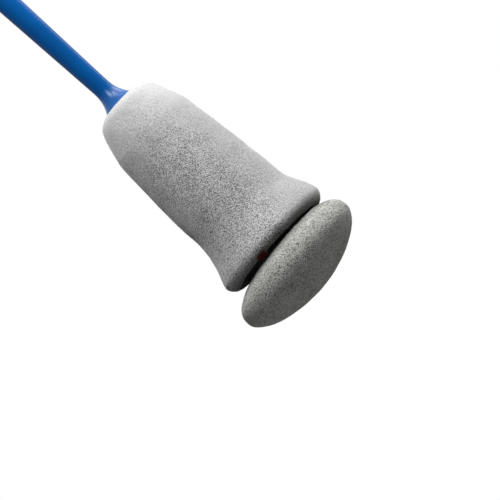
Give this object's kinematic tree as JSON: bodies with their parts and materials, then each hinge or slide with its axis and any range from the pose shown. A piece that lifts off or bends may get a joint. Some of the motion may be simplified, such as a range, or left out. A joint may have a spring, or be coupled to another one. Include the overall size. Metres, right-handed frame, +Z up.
{
  "type": "sponge cup brush",
  "caption": "Long-handled foam brush for cups and glasses: slim handle with hanging eye and collar, pull-off bell-shaped sponge head, and a flat lens-shaped sponge tip that tilts.",
  "frame": {"origin": "top of the hanging eye in the handle's free end, where a hook bears", "axes": "+Z up along the handle, from the sponge to the eye, as the brush hangs; +Y is through the eye; +X is the side on which the leaning tip rises towards the sponge barrel"},
  "size_m": [0.0586, 0.0586, 0.2822],
  "materials": {
    "blue_plastic": "satin",
    "white_plastic": "satin",
    "acetal": "satin",
    "steel": "drawn",
    "black_rubber": "matte",
    "grey_foam": "open-celled foam",
    "red_cloth": "woven"
  },
  "bodies": {
    "handle": {"handle": "blue_plastic", "core_rod": "steel", "spigot_nose": "acetal", "retaining_ring": "black_rubber"},
    "head": {"sleeve": "white_plastic", "sleeve_plug": "acetal", "ball_stud": "steel", "sponge_barrel": "grey_foam", "groove_tag": "red_cloth"},
    "neck": {"sponge_neck": "grey_foam"},
    "tip": {"sponge_tip": "grey_foam", "tip_socket": "acetal"}
  },
  "joints": [
    {"name": "head_pull_off", "type": "slide", "parent": "handle", "child": "head", "axis": [0, 0, -1], "range_m": [0, 0.075]},
    {"name": "tip_nod", "type": "hinge", "parent": "head", "child": "neck", "pos_m": [0, 0, -0.265], "axis": [0, 1, 0], "range_deg": [0, 6.54], "stiffness_Nm_per_rad": 0.05, "deforming": ["sponge_neck"]},
    {"name": "tip_rock", "type": "hinge", "parent": "neck", "child": "tip", "pos_m": [0, 0, -0.265], "axis": [1, 0, 0], "range_deg": [-2, 2], "stiffness_Nm_per_rad": 0.05, "deforming": ["sponge_neck"]}
  ]
}
